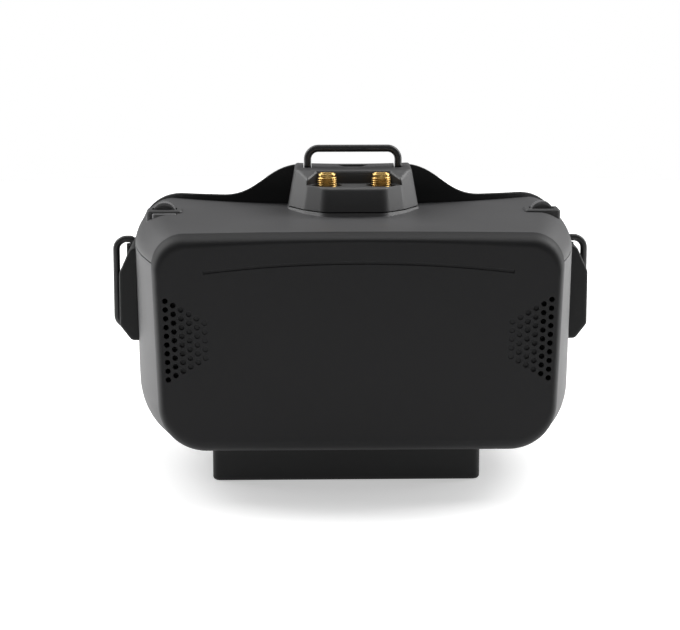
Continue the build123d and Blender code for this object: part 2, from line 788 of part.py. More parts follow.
with BuildPart() as lcd_frame:
    add(upright(LCD_WIDTH + 4, LCD_HEIGHT + 4, LCD_BACK_Y - 1.4, -34.5, 2))
    add(upright(LCD_WIDTH, LCD_HEIGHT, -42, LCD_BACK_Y + LCD_THICK, 0.5), mode=Mode.SUBTRACT)
    add(upright(LCD_WIDTH - 5, LCD_HEIGHT - 5, LCD_BACK_Y, -34, 1), mode=Mode.SUBTRACT)
    with Locations((0, -40, 14)):
        Box(34, 12, 10, mode=Mode.SUBTRACT)
save(lcd_frame, "lcd_frame")

with BuildPart() as light_tunnel:
    with BuildSketch(Plane.XZ.offset(34.4)):
        with Locations((0, OPTIC_Z)):
            Rectangle(LCD_WIDTH + 2, LCD_HEIGHT + 2)
    with BuildSketch(Plane.XZ.offset(9.6)):
        with Locations((0, OPTIC_Z)):
            Rectangle(LENS_WIDTH + 7, LENS_HEIGHT + 7)
    loft(ruled=True)
    with BuildSketch(Plane.XZ.offset(34.4)):
        with Locations((0, OPTIC_Z)):
            Rectangle(LCD_WIDTH - 2, LCD_HEIGHT - 2)
    with BuildSketch(Plane.XZ.offset(9.6)):
        with Locations((0, OPTIC_Z)):
            Rectangle(LENS_WIDTH + 3, LENS_HEIGHT + 3)
    loft(ruled=True, mode=Mode.SUBTRACT)
save(light_tunnel, "light_tunnel")

with BuildPart() as lens:
    add(upright(LENS_WIDTH, LENS_HEIGHT, -14, LENS_BACK_Y, 2))
    with Locations((0, -13 + LENS_DOME, OPTIC_Z)):
        Sphere(LENS_DOME, mode=Mode.INTERSECT)
save(lens, "lens")

with BuildPart() as lens_frame:
    add(upright(LENS_WIDTH + 8, LENS_HEIGHT + 6, -9.5, -3.2, 3))
    add(upright(LENS_WIDTH + 0.6, LENS_HEIGHT + 0.6, -10, LENS_BACK_Y + 0.1, 2), mode=Mode.SUBTRACT)
    add(upright(LENS_WIDTH - 4, LENS_HEIGHT - 4, -6, -3, 4), mode=Mode.SUBTRACT)
save(lens_frame, "lens_frame")

SURROUND_FRONT = Plane.XZ.offset(3.1)
SURROUND_REAR = Plane.XZ.offset(-34)

with BuildPart() as eye_surround:
    with BuildSketch(SURROUND_FRONT):
        with Locations((0, OPTIC_Z)):
            RectangleRounded(LENS_WIDTH + 3, LENS_HEIGHT + 1, 6)
    with BuildSketch(SURROUND_REAR):
        with Locations((0, OPTIC_Z)):
            RectangleRounded(EYE_WIDTH + 5, EYE_HEIGHT + 5, 14)
    loft()
    with BuildSketch(SURROUND_FRONT):
        with Locations((0, OPTIC_Z)):
            RectangleRounded(LENS_WIDTH - 1, LENS_HEIGHT - 3, 4)
    with BuildSketch(SURROUND_REAR):
        with Locations((0, OPTIC_Z)):
            RectangleRounded(EYE_WIDTH + 1, EYE_HEIGHT + 1, 12)
    loft(mode=Mode.SUBTRACT)
    with BuildSketch(Plane.XZ.offset(-NOSE_FRONT + 0.3)):
        add(nose_profile(0.3))
    extrude(amount=-60, mode=Mode.SUBTRACT)
    with Locations((0, FACE_AXIS_Y, 0)):
        Cylinder(FACE_RADIUS + 0.05, BIG, mode=Mode.SUBTRACT)
save(eye_surround, "eye_surround")


# ---------------------------------------------------------------- electronics

CHIP_FACE = Plane.XZ.offset(-BOARD_BACK_Y + 1.6)
CHIPS = ((-20, 52, 14), (6, 55, 11), (28, 46, 9), (-38, 40, 7), (6, 36, 8))
CHIP_HEIGHT = 1.2
SINK_SIZE = 13.0

with BuildPart() as main_board:
    add(upright(100, 54, BOARD_BACK_Y - 1.6, BOARD_BACK_Y, 2))
save(main_board, "main_board")

with BuildPart() as main_chips:
    with BuildSketch(CHIP_FACE):
        for x, z, size in CHIPS:
            with Locations((x, z)):
                Rectangle(size, size)
    extrude(amount=CHIP_HEIGHT)
save(main_chips, "main_chips")

with BuildPart() as heat_sink:
    with BuildSketch(CHIP_FACE.offset(CHIP_HEIGHT)):
        with Locations(CHIPS[0][:2]):
            Rectangle(SINK_SIZE, SINK_SIZE)
    extrude(amount=0.6)
    with BuildSketch(CHIP_FACE.offset(CHIP_HEIGHT + 0.6)):
        with Locations(CHIPS[0][:2]):
            with GridLocations(0, 2.4, 1, 6):
                Rectangle(SINK_SIZE, 0.9)
    extrude(amount=1.1)
save(heat_sink, "heat_sink")

RIBBON_Z = OPTIC_Z - LCD_HEIGHT / 2 - 0.05
RIBBON_BEND = 2.3
RIBBON_BOARD_Y = BOARD_BACK_Y + 0.2

with BuildPart() as display_cable:
    with BuildSketch(Plane.YZ.offset(-13)):
        with BuildLine():
            Line((RIBBON_BOARD_Y, RIBBON_Z + 5), (RIBBON_BOARD_Y, RIBBON_Z))
            ThreePointArc(
                (RIBBON_BOARD_Y, RIBBON_Z),
                (RIBBON_BOARD_Y + RIBBON_BEND, RIBBON_Z - RIBBON_BEND),
                (RIBBON_BOARD_Y + 2 * RIBBON_BEND, RIBBON_Z),
            )
        trace(line_width=0.3)
    extrude(amount=26)
save(display_cable, "display_cable")


# ---------------------------------------------------------------- fan and dust filters

FAN_X = -58.5           # middle of the fan, which blows along X
FAN_Y = -16.5
FAN_Z = 48.5
FAN_SIZE = 25.0
FAN_THICK = 7.0
FAN_BORE = 11.7
FAN_BLADES = 7
FAN_SHAFT = 1.0
FAN_FACE = Plane.YZ.offset(FAN_X - FAN_THICK / 2)

with BuildPart() as fan_frame:
    with BuildSketch(FAN_FACE):
        with Locations((FAN_Y, FAN_Z)):
            RectangleRounded(FAN_SIZE, FAN_SIZE, 2)
            Circle(FAN_BORE, mode=Mode.SUBTRACT)
            with GridLocations(20, 20, 2, 2):
                Circle(1.45, mode=Mode.SUBTRACT)
    extrude(amount=FAN_THICK)
    with BuildSketch(FAN_FACE):
        with Locations((FAN_Y, FAN_Z)):
            Circle(5.2)
            with PolarLocations(8.5, 4):
                Rectangle(7.4, 1.4)
            Circle(FAN_SHAFT + FIT, mode=Mode.SUBTRACT)
    extrude(amount=1.2)
    with BuildSketch(FAN_FACE.offset(1.2)):
        with Locations((FAN_Y, FAN_Z)):
            Circle(2.2)
            Circle(FAN_SHAFT + FIT, mode=Mode.SUBTRACT)
    extrude(amount=3.0)
save(fan_frame, "fan_frame")

with BuildPart() as fan_blade:
    Box(4.6, 6.6, 0.7, rotation=(0, 38, 0))

with BuildPart() as fan_rotor:
    with BuildSketch(FAN_FACE.offset(1.5)):
        with Locations((FAN_Y, FAN_Z)):
            Circle(5.0)
            Circle(4.2, mode=Mode.SUBTRACT)
    extrude(amount=5.0)
    with BuildSketch(FAN_FACE.offset(5.3)):
        with Locations((FAN_Y, FAN_Z)):
            Circle(5.0)
    extrude(amount=1.2)
    with BuildSketch(FAN_FACE.offset(0.6)):
        with Locations((FAN_Y, FAN_Z)):
            Circle(FAN_SHAFT)
    extrude(amount=5.0)
    hub = Location((FAN_X + 0.5, FAN_Y, FAN_Z))
    for blade in range(FAN_BLADES):
        turned = Location((0, 0, 0), (blade * 360 / FAN_BLADES, 0, 0))
        with Locations(hub * turned * Location((0, 7.7, 0))):
            add(fan_blade.part)
save(fan_rotor, "fan_rotor")

for name, side in SIDES.items():
    with BuildPart() as vent_filter:
        with BuildSketch(Plane.XZ.offset(-FRONT_Y - COVER_SKIN)):
            with Locations((side * 52.2, VENT_Z)):
                RectangleRounded(11.0, 28, 2)
        extrude(amount=-1.5)
    save(vent_filter, f"vent_filter_{name}")


# ---------------------------------------------------------------- screws of the casing

with BuildPart() as housing_screws:
    with Locations(*[(x, y, 62.2) for x, y in BOSSES]):
        Cylinder(2.2, 1.8, align=(Align.CENTER, Align.CENTER, Align.MIN))
        Cylinder(1.1, 16.0, align=(Align.CENTER, Align.CENTER, Align.MIN))
        Cylinder(0.9, 1.0, align=(Align.CENTER, Align.CENTER, Align.MIN), mode=Mode.SUBTRACT)
save(housing_screws, "housing_screws")

with BuildPart() as threaded_inserts:
    with Locations(*[(x, y, SIDE_SEAM_Z + 0.3) for x, y in BOSSES]):
        Cylinder(1.75, 4.5, align=(Align.CENTER, Align.CENTER, Align.MIN))
        Cylinder(1.12, 4.5, align=(Align.CENTER, Align.CENTER, Align.MIN), mode=Mode.SUBTRACT)
save(threaded_inserts, "threaded_inserts")


# ---------------------------------------------------------------- connector box

BOX_X = (BOX_LEFT + BOX_RIGHT) / 2
BOX_Y = (BOX_FRONT + BOX_REAR) / 2
BOX_LENGTH = BOX_RIGHT - BOX_LEFT
BOX_DEPTH = BOX_REAR - BOX_FRONT
COVER_THICK = 2.0
COVER_GAP = 0.15
IO_BOARD_Z = 3.4
IO_TOP = IO_BOARD_Z + 1.2
JACK_Z = IO_TOP + 3.0
POWER_Y = -18.6
AV_Y = -9.0
HDMI_Y = -14.0
USB_X = 20.0
CARD_X = -20.0
POSTS = [
    (BOX_X + across * (BOX_LENGTH / 2 - 4.6), BOX_Y + along * (BOX_DEPTH / 2 - 4.6))
    for across in (-1, 1)
    for along in (-1, 1)
]
INNER_LENGTH = BOX_LENGTH - 2 * BOX_WALL
INNER_DEPTH = BOX_DEPTH - 2 * BOX_WALL

with BuildPart() as io_housing:
    with BuildSketch():
        with Locations((BOX_X, BOX_Y)):
            RectangleRounded(BOX_LENGTH, BOX_DEPTH, 2.5)
    extrude(amount=BOX_TOP + 2)
    fillet(io_housing.faces().sort_by(Axis.Z)[0].edges(), 1.2)
    with BuildSketch(Plane.XY.offset(COVER_THICK)):
        with Locations((BOX_X, BOX_Y)):
            Rectangle(INNER_LENGTH, INNER_DEPTH)
    extrude(amount=BOX_TOP, mode=Mode.SUBTRACT)
    with BuildSketch(Plane.XY.offset(COVER_THICK)):
        with Locations(*POSTS):
            Rectangle(5.4, 5.4)
    extrude(amount=BOX_TOP)
    with BuildSketch():
        with Locations((BOX_X, BOX_Y)):
            Rectangle(INNER_LENGTH, INNER_DEPTH)
    extrude(amount=COVER_THICK, mode=Mode.SUBTRACT)
    with BuildSketch():
        with Locations(*POSTS):
            Circle(0.9)
    extrude(amount=9, mode=Mode.SUBTRACT)
    with BuildSketch(Plane.YZ.offset(BOX_LEFT - 1)):
        with Locations((POWER_Y, JACK_Z)):
            Circle(3.0)
        with Locations((AV_Y, JACK_Z)):
            Circle(2.2)
    extrude(amount=BOX_WALL + 2, mode=Mode.SUBTRACT)
    with BuildSketch(Plane.YZ.offset(BOX_RIGHT - BOX_WALL - 1)):
        with Locations((HDMI_Y, JACK_Z)):
            RectangleRounded(15, 5.6, 0.8)
    extrude(amount=BOX_WALL + 2, mode=Mode.SUBTRACT)
    with BuildSketch(Plane.XZ.offset(-BOX_REAR - 1)):
        with Locations((USB_X, IO_TOP + 1.6)):
            RectangleRounded(8.4, 3.4, 0.8)
        with Locations((CARD_X, IO_TOP + 0.9)):
            Rectangle(12.4, 1.8)
    extrude(amount=BOX_WALL + 2, mode=Mode.SUBTRACT)
    add(casing_blank(), mode=Mode.SUBTRACT)
save(io_housing, "io_housing")

with BuildPart() as io_cover:
    with BuildSketch():
        with Locations((BOX_X, BOX_Y)):
            Rectangle(INNER_LENGTH - 2 * COVER_GAP, INNER_DEPTH - 2 * COVER_GAP)
        with Locations(*POSTS):
            Circle(1.2, mode=Mode.SUBTRACT)
    extrude(amount=COVER_THICK)
    with BuildSketch():
        with Locations(*POSTS):
            Circle(2.1)
    extrude(amount=1.2, mode=Mode.SUBTRACT)
save(io_cover, "io_cover")

with BuildPart() as io_cover_screws:
    with BuildSketch(Plane.XY.offset(1.2)):
        with Locations(*POSTS):
            Circle(1.95)
    extrude(amount=-1.0)
    with BuildSketch(Plane.XY.offset(1.2)):
        with Locations(*POSTS):
            Circle(0.88)
    extrude(amount=6)
save(io_cover_screws, "io_cover_screws")

with BuildPart() as io_board:
    with BuildSketch(Plane.XY.offset(IO_BOARD_Z)):
        with Locations((BOX_X, BOX_Y)):
            Rectangle(INNER_LENGTH - 0.6, INNER_DEPTH - 0.6)
        with Locations(*POSTS):
            Rectangle(6.4, 6.4, mode=Mode.SUBTRACT)
    extrude(amount=IO_TOP - IO_BOARD_Z)
save(io_board, "io_board")

LEFT_INNER = Plane.YZ.offset(BOX_LEFT + BOX_WALL)
RIGHT_INNER = Plane.YZ.offset(BOX_RIGHT - BOX_WALL)
REAR_INNER = Plane.XZ.offset(BOX_WALL - BOX_REAR)

with BuildPart() as power_jack:
    with BuildSketch(LEFT_INNER):
        with Locations((POWER_Y, IO_TOP)):
            Rectangle(9, 6.2, align=(Align.CENTER, Align.MIN))
    extrude(amount=11)
    with BuildSketch(LEFT_INNER):
        with Locations((POWER_Y, JACK_Z)):
            Circle(2.8)
            Circle(1.0, mode=Mode.SUBTRACT)
    extrude(amount=9, mode=Mode.SUBTRACT)
save(power_jack, "power_jack")

with BuildPart() as av_jack:
    with BuildSketch(LEFT_INNER):
        with Locations((AV_Y, IO_TOP)):
            Rectangle(6.4, 5.8, align=(Align.CENTER, Align.MIN))
    extrude(amount=14)
    with BuildSketch(LEFT_INNER.offset(-1.6)):
        with Locations((AV_Y, JACK_Z)):
            Circle(2.1)
    extrude(amount=1.6)
    with BuildSketch(LEFT_INNER.offset(-1.6)):
        with Locations((AV_Y, JACK_Z)):
            Circle(1.75)
    extrude(amount=14, mode=Mode.SUBTRACT)
save(av_jack, "av_jack")

with BuildPart() as hdmi_socket:
    with BuildSketch(RIGHT_INNER):
        with Locations((HDMI_Y, JACK_Z)):
            Rectangle(15.4, 6.0)
    extrude(amount=-11)
    with BuildSketch(RIGHT_INNER):
        with Locations((HDMI_Y, JACK_Z)):
            Rectangle(14.2, 4.8)
    extrude(amount=-9.5, mode=Mode.SUBTRACT)
    with BuildSketch(RIGHT_INNER.offset(-9.5)):
        with Locations((HDMI_Y, JACK_Z + 0.8)):
            Rectangle(11.5, 1.1)
    extrude(amount=7)
save(hdmi_socket, "hdmi_socket")

with BuildPart() as usb_socket:
    with BuildSketch(REAR_INNER):
        with Locations((USB_X, IO_TOP)):
            Rectangle(8.0, 3.2, align=(Align.CENTER, Align.MIN))
    extrude(amount=6)
    with BuildSketch(REAR_INNER):
        with Locations((USB_X, IO_TOP + 1.6)):
            Rectangle(7.2, 2.4)
    extrude(amount=5, mode=Mode.SUBTRACT)
    with BuildSketch(REAR_INNER.offset(5)):
        with Locations((USB_X, IO_TOP + 1.9)):
            Rectangle(4.6, 0.6)
    extrude(amount=-4)
save(usb_socket, "usb_socket")

with BuildPart() as card_slot:
    with BuildSketch(REAR_INNER):
        with Locations((CARD_X, IO_TOP)):
            Rectangle(14, 2.0, align=(Align.CENTER, Align.MIN))
    extrude(amount=15)
    with BuildSketch(REAR_INNER):
        with Locations((CARD_X, IO_TOP + 0.9)):
            Rectangle(11.4, 1.1)
    extrude(amount=13.5, mode=Mode.SUBTRACT)
save(card_slot, "card_slot")

with BuildPart() as buzzer:
    with Locations((BOX_X + 14, BOX_Y, IO_TOP)):
        Cylinder(6, 4.6, align=(Align.CENTER, Align.CENTER, Align.MIN))
        Cylinder(1.2, 4.6, align=(Align.CENTER, Align.CENTER, Align.MIN), mode=Mode.SUBTRACT)
save(buzzer, "buzzer")
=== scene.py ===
# %% [markdown]
# # Video goggles for flying model aircraft
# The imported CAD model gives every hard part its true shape, size and joints. This lesson adds
# what CAD leaves out: how each surface was made, the padded face cushion and its sewing, the
# antenna thread, the screw sockets, and a small studio. Everything is in metres, in the
# same frame as the CAD, so nothing has to be fitted or moved.

# %% The frame
import json
from math import cos, hypot, pi, radians, sin

import bmesh
import bpy
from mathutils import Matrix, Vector
from mathutils.bvhtree import BVHTree


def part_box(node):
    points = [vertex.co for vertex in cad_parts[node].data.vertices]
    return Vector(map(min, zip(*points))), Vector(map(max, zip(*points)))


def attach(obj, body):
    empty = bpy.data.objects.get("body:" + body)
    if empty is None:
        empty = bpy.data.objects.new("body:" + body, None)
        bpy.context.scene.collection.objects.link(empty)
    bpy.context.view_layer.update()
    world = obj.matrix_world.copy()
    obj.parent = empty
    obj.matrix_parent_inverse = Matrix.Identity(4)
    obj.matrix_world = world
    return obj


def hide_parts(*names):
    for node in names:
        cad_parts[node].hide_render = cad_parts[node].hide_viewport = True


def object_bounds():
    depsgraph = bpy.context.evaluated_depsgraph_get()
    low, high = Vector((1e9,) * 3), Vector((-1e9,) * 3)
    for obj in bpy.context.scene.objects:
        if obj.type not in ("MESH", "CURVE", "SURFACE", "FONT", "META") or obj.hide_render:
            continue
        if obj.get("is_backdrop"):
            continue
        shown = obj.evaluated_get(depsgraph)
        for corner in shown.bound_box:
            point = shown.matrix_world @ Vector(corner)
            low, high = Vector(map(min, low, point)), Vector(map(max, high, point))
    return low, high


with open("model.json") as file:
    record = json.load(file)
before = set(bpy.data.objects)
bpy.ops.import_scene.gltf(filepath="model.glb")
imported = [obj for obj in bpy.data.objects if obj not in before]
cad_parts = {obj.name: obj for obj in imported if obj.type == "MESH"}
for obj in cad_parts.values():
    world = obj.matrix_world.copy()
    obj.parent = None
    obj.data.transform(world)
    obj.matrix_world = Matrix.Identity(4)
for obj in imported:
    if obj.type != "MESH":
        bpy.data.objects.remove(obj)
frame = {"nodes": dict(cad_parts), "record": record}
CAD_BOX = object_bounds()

MM = 0.001
nodes = frame["nodes"]
cad_size = [round(v / MM, 1) for v in CAD_BOX[1] - CAD_BOX[0]]
print("CAD parts:", len(nodes), "size in mm:", cad_size)

# %% [markdown]
# ## Colours and shader nodes
# Plastics and coatings are quoted as sRGB hex values, but shaders calculate with linear light.
# One function turns a hex value into linear numbers. A second one adds a shader node, sets its
# fields and input values, and links whatever is handed to it from other nodes.


# %% Colour and node helpers
def linear(code, alpha=1.0):
    """Linear RGBA from an sRGB hex value such as #1A1A1B."""
    shares = [int(code[i : i + 2], 16) / 255 for i in (1, 3, 5)]
    light = [s / 12.92 if s <= 0.04045 else ((s + 0.055) / 1.055) ** 2.4 for s in shares]
    return (*light, alpha)


def add(tree, kind, inputs=None, **fields):
    """Adds a node. Inputs, by socket, are numbers, colours or the outputs of other nodes."""
    made = tree.nodes.new("ShaderNode" + kind)
    for field, value in fields.items():
        setattr(made, field, value)
    for socket, value in (inputs or {}).items():
        if isinstance(value, bpy.types.NodeSocket):
            tree.links.new(value, made.inputs[socket])
        else:
            made.inputs[socket].default_value = value
    return made


def per_mm(size):
    """Texture scale whose features are about this many millimetres across."""
    return 1 / (size * MM)


# A mix node has a set of sockets for each kind of data. These are the ones for colours.
FACTOR, FIRST, SECOND, MIXED = 0, 6, 7, 2
print("mid grey, linear:", round(linear("#808080")[0], 3))

# %% [markdown]
# ## The recipe that all the finishes share
# A real surface is never one flat colour: the tone drifts a little over centimetres, the
# mould or the tool leaves a fine relief, and edges are slightly rounded and rubbed lighter.
# The recipe has those three layers. A large soft noise moves colour and roughness, a fine
# pattern is the relief, and a bevel node finds the edges, rounds their shading and lightens
# them. Each finish then fills in its own colours, sizes and patterns.

# %% The shared recipe
EDGE_START, EDGE_FULL = 0.985, 0.80  # agreement of flat and rounded normals on an edge
EDGE_PALER = 2.2  # a fully rubbed edge is this many times lighter
GLOSS_DRIFT = 0.05  # the most that roughness drifts either way


def start(name):
    """A new material with its node tree, its surface shader and coordinates on the part."""
    material = bpy.data.materials.new(name)
    material.use_nodes = True
    tree = material.node_tree
    tree.nodes.clear()
    shader = add(tree, "BsdfPrincipled")
    add(tree, "OutputMaterial", {"Surface": shader.outputs["BSDF"]})
    place = add(tree, "TexCoord").outputs["Object"]
    return material, tree, shader, place


def finish(
    name, dark, light, rough, relief_mm, depth_mm, edge_mm=0.3, worn=0.25, drift_mm=22, **fixed
):
    """A finish with drifting tone, fine relief and softly worn edges; fixed go on the shader."""
    material, tree, shader, place = start(name)
    drift = add(tree, "TexNoise", {"Vector": place, "Scale": per_mm(drift_mm), "Detail": 4.0})
    tone = add(
        tree,
        "Mix",
        {FACTOR: drift.outputs["Fac"], FIRST: linear(dark), SECOND: linear(light)},
        data_type="RGBA",
    )
    edge = add(tree, "Bevel", {"Radius": edge_mm * MM}, samples=4)
    flat = add(tree, "NewGeometry").outputs["True Normal"]
    facing = add(
        tree, "VectorMath", {0: edge.outputs["Normal"], 1: flat}, operation="DOT_PRODUCT"
    )
    rubbed = add(
        tree,
        "MapRange",
        {
            "Value": facing.outputs["Value"],
            "From Min": EDGE_START,
            "From Max": EDGE_FULL,
            "To Min": 0.0,
            "To Max": worn,
        },
    )
    pale = add(tree, "HueSaturation", {"Color": tone.outputs[MIXED], "Value": EDGE_PALER})
    colour = add(
        tree,
        "Mix",
        {
            FACTOR: rubbed.outputs["Result"],
            FIRST: tone.outputs[MIXED],
            SECOND: pale.outputs["Color"],
        },
        data_type="RGBA",
    )
    grain = add(
        tree,
        "TexNoise",
        {"Vector": place, "Scale": per_mm(relief_mm), "Detail": 2.0, "Roughness": 0.6},
    )
    relief = add(
        tree,
        "Bump",
        {
            "Height": grain.outputs["Fac"],
            "Distance": depth_mm * MM,
            "Strength": 0.6,
            "Normal": edge.outputs["Normal"],
        },
    )
    gloss = add(
        tree,
        "MapRange",
        {
            "Value": drift.outputs["Fac"],
            "To Min": rough - GLOSS_DRIFT,
            "To Max": rough + GLOSS_DRIFT,
        },
    )
    tree.links.new(colour.outputs[MIXED], shader.inputs["Base Color"])
    tree.links.new(gloss.outputs["Result"], shader.inputs["Roughness"])
    tree.links.new(relief.outputs["Normal"], shader.inputs["Normal"])
    for socket, value in fixed.items():
        shader.inputs[socket.replace("_", " ")].default_value = value
    return material


# %% [markdown]
# ## Moulded plastics
# The covers are injection moulded from ABS in a mould whose walls were spark eroded, which
# leaves the fine matte grain that hides fingerprints. Parts that carry load are glass-filled
# nylon, a little duller and rougher. The grain is about 0.15 mm across on the real thing; it
# is drawn at 0.35 mm, because anything finer can't be seen at this distance.

# %% Plastics
finishes = {
    "cover_plastic": finish(
        "spark_eroded_black_abs", "#171718", "#1D1D1E", 0.58, 0.35, 0.03, Specular_IOR_Level=0.22
    ),
    "shell_plastic": finish(
        "spark_eroded_grey_abs", "#353536", "#3E3E3F", 0.50, 0.35, 0.03, worn=0.15
    ),
    "black_plastic": finish(
        "glass_filled_black_nylon", "#131314", "#191A1A", 0.55, 0.5, 0.03, Specular_IOR_Level=0.3
    ),
    "wheel_plastic": finish(
        "satin_grey_polycarbonate", "#666667", "#727273", 0.38, 0.4, 0.01, edge_mm=0.15, worn=0.5
    ),
    "inner_plastic": finish("matt_black_acetal", "#101011", "#161617", 0.65, 0.5, 0.02),
    "white_insulator": finish("fluoropolymer", "#E4E1DA", "#EFEDE8", 0.40, 0.6, 0.01, worn=0.0),
    "chip_resin": finish("moulded_epoxy", "#141415", "#1D1D1E", 0.60, 0.25, 0.02),
}
print("plastics:", len(finishes))

# %% [markdown]
# ## Metals
# The antenna sockets are turned brass under a thin gold plating, the screws are blackened
# steel, the inserts are bare turned brass, and the shields and sockets are tinned sheet. A
# metal has no colour of its own under its reflections, so its base colour is the tint of the
# reflection, and its roughness says how it was cut or plated. The strap loops are steel
# wire under a powder coat, whose skin has the slow ripple known as orange peel.

# %% Metals and coated wire
METAL = {"Metallic": 1.0}
finishes.update(
    gold_plating=finish(
        "gold_plated_brass", "#BC9450", "#DDBB78", 0.30, 0.25, 0.004, edge_mm=0.08, **METAL
    ),
    tinned_steel=finish("tinned_steel_sheet", "#A9A9A4", "#C2C2BC", 0.34, 1.2, 0.01, **METAL),
    screw_steel=finish(
        "blackened_steel", "#2B2B2D", "#3A3A3C", 0.38, 0.4, 0.006, edge_mm=0.1, worn=0.6, **METAL
    ),
    insert_brass=finish("turned_brass", "#B8904A", "#CBA45C", 0.30, 0.3, 0.005, **METAL),
    sink_aluminium=finish(
        "black_anodised_aluminium", "#2C2C2F", "#38383B", 0.42, 0.3, 0.01, **METAL
    ),
    loop_paint=finish(
        "powder_coated_steel_wire", "#161617", "#1D1D1E", 0.40, 0.9, 0.03, worn=0.1
    ),
)
print("finishes so far:", len(finishes))

# %% [markdown]
# ## Rubber, foam, film and glass
# The nose flap is moulded silicone, dull and a little dusty, so it gets a faint sheen. The
# dust filters are open-cell foam, drawn with a cell pattern 0.8 mm across, and the hollow
# middle of each cell is painted darker as painted shade. The flat cable is amber polyimide
# film. The screen is glass under a grey polarizer, and the lens is clear acrylic with a thin
# coating, so light passes through it and its surface is nearly smooth.

# %% Rubber, foam and film
finishes.update(
    nose_rubber=finish(
        "moulded_silicone", "#1B1B1C", "#232324", 0.62, 0.6, 0.02, worn=0.0, Sheen_Weight=0.25
    ),
    cable_film=finish("polyimide_film", "#8A4E12", "#A8641C", 0.28, 2.0, 0.01, worn=0.0),
    display_glass=finish(
        "polarizer_on_glass", "#08090C", "#0D0E12", 0.22, 30.0, 0.001, worn=0.0
    ),
)
foam, tree, shader, place = start("open_cell_foam")
CELL_MM = 0.8
cells = add(tree, "TexVoronoi", {"Vector": place, "Scale": per_mm(CELL_MM)})
# Painted shade: the colour is darkest at the middle of each cell, where the bump sinks a hollow,
# as shade falls into the holes.
pore_painted_shade = add(
    tree,
    "Mix",
    {FACTOR: cells.outputs["Distance"], FIRST: linear("#050505"), SECOND: linear("#2A2A2A")},
    data_type="RGBA",
)
hollow = add(tree, "Bump", {"Height": cells.outputs["Distance"], "Distance": 0.3 * MM})
tree.links.new(pore_painted_shade.outputs[MIXED], shader.inputs["Base Color"])
tree.links.new(hollow.outputs["Normal"], shader.inputs["Normal"])
shader.inputs["Roughness"].default_value = 0.9
finishes["filter_foam"] = foam

# %% Clear acrylic
acrylic, tree, shader, place = start("coated_clear_acrylic")
swirl = add(tree, "TexNoise", {"Vector": place, "Scale": per_mm(9), "Detail": 1.0})
wipe = add(
    tree, "MapRange", {"Value": swirl.outputs["Fac"], "To Min": 0.015, "To Max": 0.06}
)
tree.links.new(wipe.outputs["Result"], shader.inputs["Roughness"])
shader.inputs["Base Color"].default_value = linear("#EEF3F6")
shader.inputs["Transmission Weight"].default_value = 1.0
shader.inputs["IOR"].default_value = 1.49
shader.inputs["Coat Weight"].default_value = 0.3
finishes["lens_clear"] = acrylic

# %% [markdown]
# ## Circuit boards
# A board is glass-fibre laminate under green solder mask, and the copper tracks beneath show
# as slightly paler raised lines. A brick pattern makes long straight lanes with gaps between
# them, which is what tracks on a routed board look like from a short way off.

# %% Solder mask
TRACK_GAP = 0.25 * MM
TRACK_LENGTH = 9 * MM
TRACK_PITCH = 1.1 * MM
board, tree, shader, place = start("green_solder_mask")
lanes = add(
    tree,
    "TexBrick",
    {
        "Vector": place,
        "Color1": (1, 1, 1, 1),
        "Color2": (0.7, 0.7, 0.7, 1),
        "Mortar": (0, 0, 0, 1),
        "Scale": 1.0,
        "Mortar Size": TRACK_GAP,
        "Brick Width": TRACK_LENGTH,
        "Row Height": TRACK_PITCH,
    },
)
mask = add(
    tree,
    "Mix",
    {FACTOR: lanes.outputs["Color"], FIRST: linear("#0F3A20"), SECOND: linear("#1B5A33")},
    data_type="RGBA",
)
copper = add(
    tree, "Bump", {"Height": lanes.outputs["Fac"], "Distance": 0.04 * MM}, invert=True
)
tree.links.new(mask.outputs[MIXED], shader.inputs["Base Color"])
tree.links.new(copper.outputs["Normal"], shader.inputs["Normal"])
shader.inputs["Roughness"].default_value = 0.32
finishes["circuit_board"] = board

# %% [markdown]
# ## Cloth of the face cushion
# The cushion is foam under a warp-knitted cover, soft and slightly hairy. Its loops are about
# 0.4 mm apart; they are drawn 0.9 mm apart so that they show. Two crossed waves make the
# columns and rows of loops, a noise bends them so that no line is perfectly straight, and the
# colour is painted darker between the loops and lighter on their raised tops, as painted shade
# and painted highlight. Sheen stands for the fine hairs that catch light at the rim.

# %% Knitted cover and sewing thread
knit, tree, shader, place = start("brushed_knit")
wander = add(tree, "TexNoise", {"Vector": place, "Scale": per_mm(6), "Detail": 3.0})
bent = add(
    tree,
    "VectorMath",
    {0: wander.outputs["Color"], 1: (0.6 * MM,) * 3, 2: place},
    operation="MULTIPLY_ADD",
)
LOOP_MM = 0.9
WAVE_PERIOD = 0.314  # a wave texture of scale 1 repeats at this distance
columns, rows = [
    add(
        tree,
        "TexWave",
        {"Vector": bent.outputs["Vector"], "Scale": per_mm(LOOP_MM) * WAVE_PERIOD},
        bands_direction=direction,
    )
    for direction in "XZ"
]
loops = add(
    tree, "Math", {0: columns.outputs["Fac"], 1: rows.outputs["Fac"]}, operation="MULTIPLY"
)
# Painted shade and highlight: darker in the gaps between loops, lighter on their raised tops,
# following the loop height.
knit_tone_with_painted_shade = add(
    tree,
    "Mix",
    {FACTOR: loops.outputs["Value"], FIRST: linear("#161617"), SECOND: linear("#262628")},
    data_type="RGBA",
)
raised = add(tree, "Bump", {"Height": loops.outputs["Value"], "Distance": 0.25 * MM})
tree.links.new(knit_tone_with_painted_shade.outputs[MIXED], shader.inputs["Base Color"])
tree.links.new(raised.outputs["Normal"], shader.inputs["Normal"])
shader.inputs["Roughness"].default_value = 0.85
shader.inputs["Sheen Weight"].default_value = 0.35
shader.inputs["Sheen Roughness"].default_value = 0.5
finishes["cushion_fabric"] = knit

thread_finish = finish(
    "bonded_nylon_thread", "#2A2A2B", "#3A3A3B", 0.6, 0.3, 0.05, worn=0.0, Sheen_Weight=0.2
)
piping_finish = finish("woven_binding", "#1C1C1D", "#272728", 0.75, 0.5, 0.06, worn=0.0)

# %% [markdown]
# ## Finishes on the CAD parts
# The record names a material slot for every part, so a short loop gives each part its finish.

